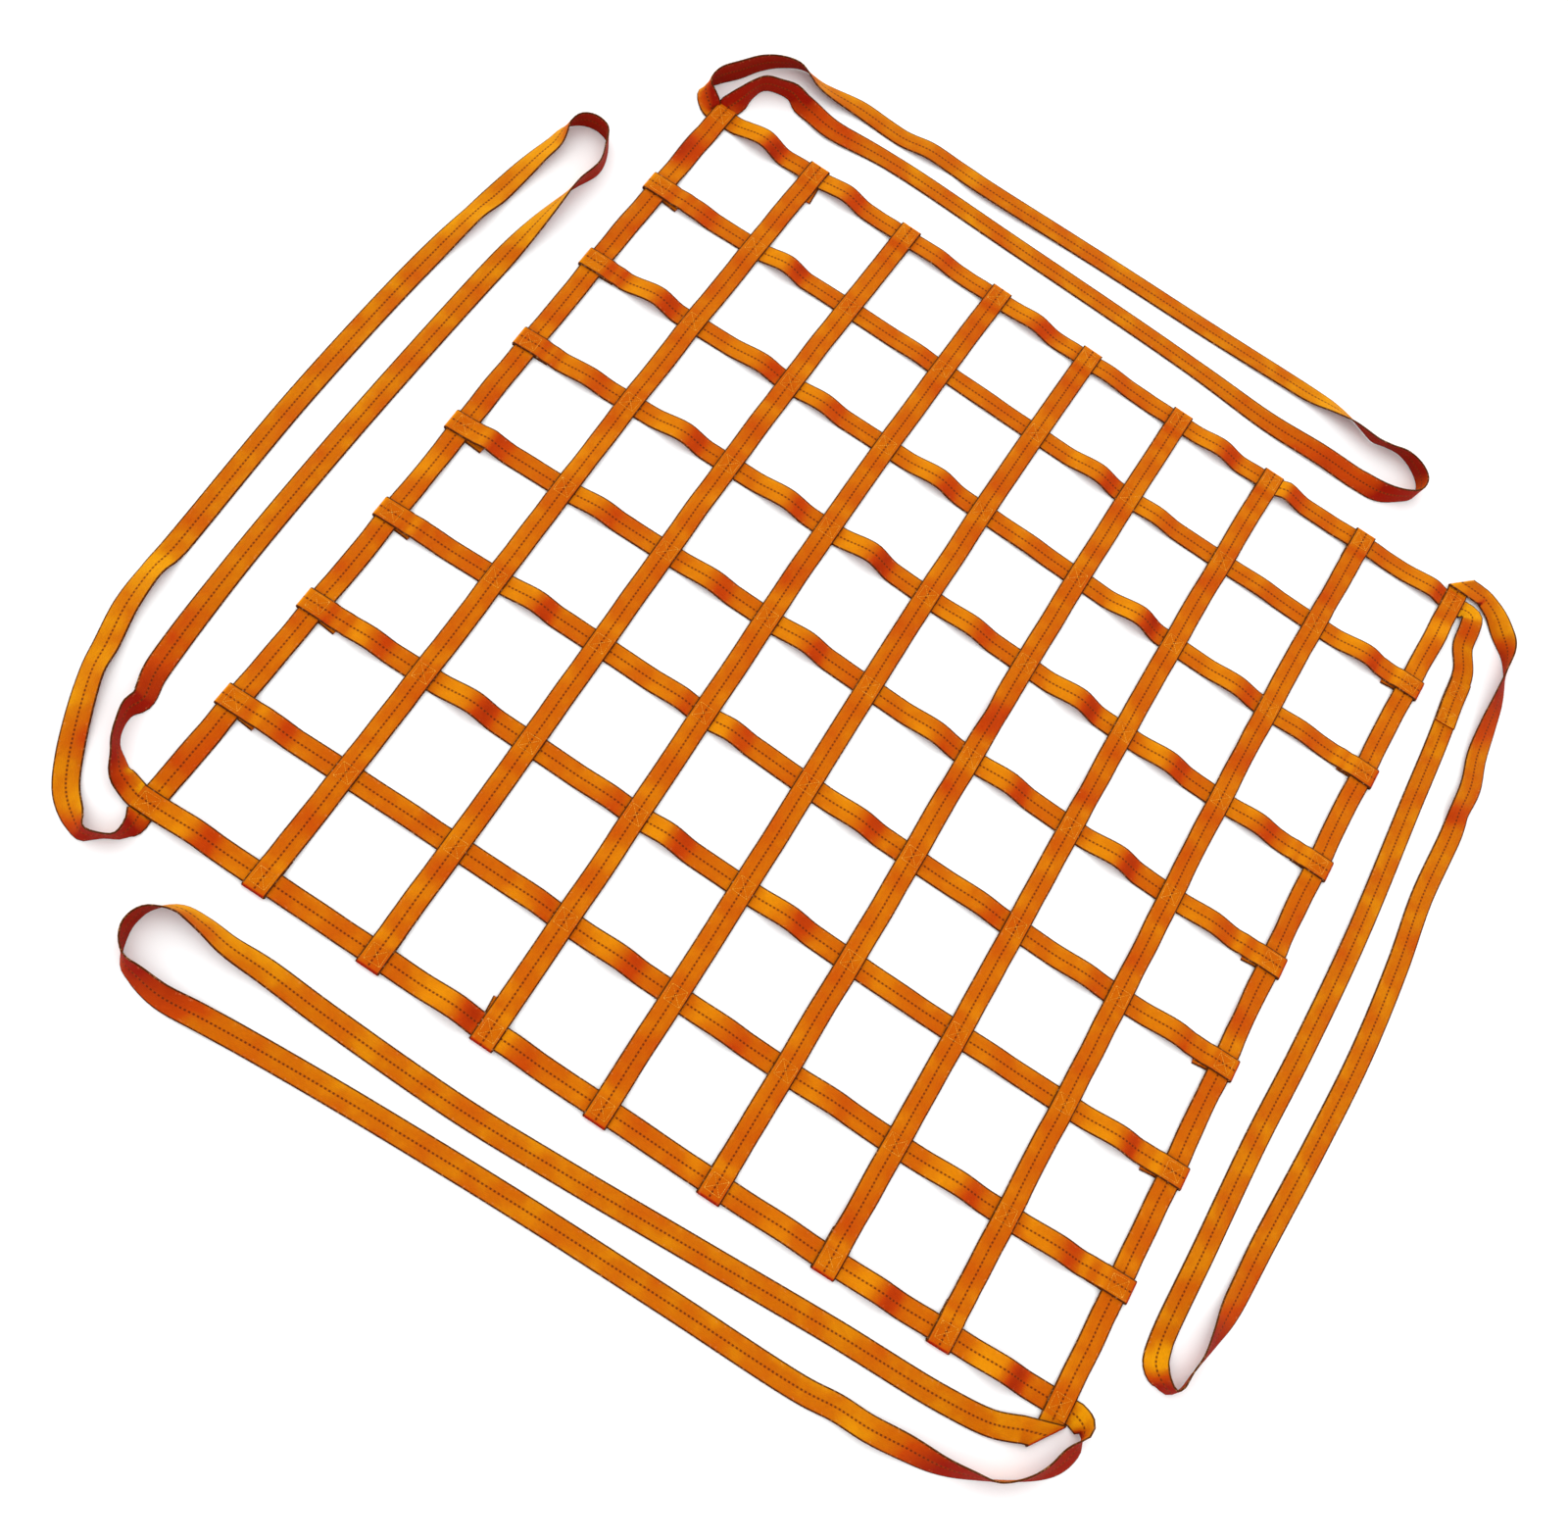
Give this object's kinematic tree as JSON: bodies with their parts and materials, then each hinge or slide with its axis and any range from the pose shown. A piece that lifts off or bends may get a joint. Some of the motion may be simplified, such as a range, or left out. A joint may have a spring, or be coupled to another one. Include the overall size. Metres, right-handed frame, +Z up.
{
  "type": "cargo climbing net",
  "caption": "Square climbing net of crossed flat webbing with folded, sewn strap ends and a long webbing sling at every corner.",
  "frame": {"origin": "centre of the square mesh, on the floor that it lies on", "axes": "+Z up out of the mesh, X along the rows, Y along the columns"},
  "size_m": [1.81, 1.8135, 0.0354],
  "materials": {
    "webbing": "woven orange polyester webbing with dark selvedges and a dotted centre line",
    "sling_webbing": "the same woven webbing, in long free slings",
    "thread": "bonded polyester sewing thread, lighter than the webbing"
  },
  "bodies": {
    "net": {"border_front": "webbing", "border_back": "webbing", "border_left": "webbing", "border_right": "webbing", "row_1": "webbing", "row_2": "webbing", "row_3": "webbing", "row_4": "webbing", "row_5": "webbing", "row_6": "webbing", "row_7": "webbing", "column_1": "webbing", "column_2": "webbing", "column_3": "webbing", "column_4": "webbing", "column_5": "webbing", "column_6": "webbing", "column_7": "webbing", "sling_back_root": "sling_webbing", "sling_right_root": "sling_webbing", "sling_front_root": "sling_webbing", "sling_left_root": "sling_webbing", "splice_overlap": "sling_webbing", "crossing_stitches": "thread", "border_stitches": "thread", "corner_stitches": "thread", "splice_stitches": "thread"},
    "sling_back_body": {"sling_back": "sling_webbing"},
    "sling_right_body": {"sling_right": "sling_webbing"},
    "sling_front_body": {"sling_front": "sling_webbing"},
    "sling_left_body": {"sling_left": "sling_webbing"}
  },
  "joints": [
    {"name": "sling_back_lift", "type": "hinge", "parent": "net", "child": "sling_back_body", "pos_m": [-0.45, 0.84, 0.0025], "axis": [0, -1, 0], "range_deg": [0, 150]},
    {"name": "sling_right_lift", "type": "hinge", "parent": "net", "child": "sling_right_body", "pos_m": [0.82, 0.35, 0.0025], "axis": [-1, 0, 0], "range_deg": [0, 150]},
    {"name": "sling_front_lift", "type": "hinge", "parent": "net", "child": "sling_front_body", "pos_m": [0.4, -0.82, 0.0025], "axis": [0, 1, 0], "range_deg": [0, 150]},
    {"name": "sling_left_lift", "type": "hinge", "parent": "net", "child": "sling_left_body", "pos_m": [-0.855, -0.4, 0.0025], "axis": [1, 0, 0], "range_deg": [0, 150]}
  ]
}
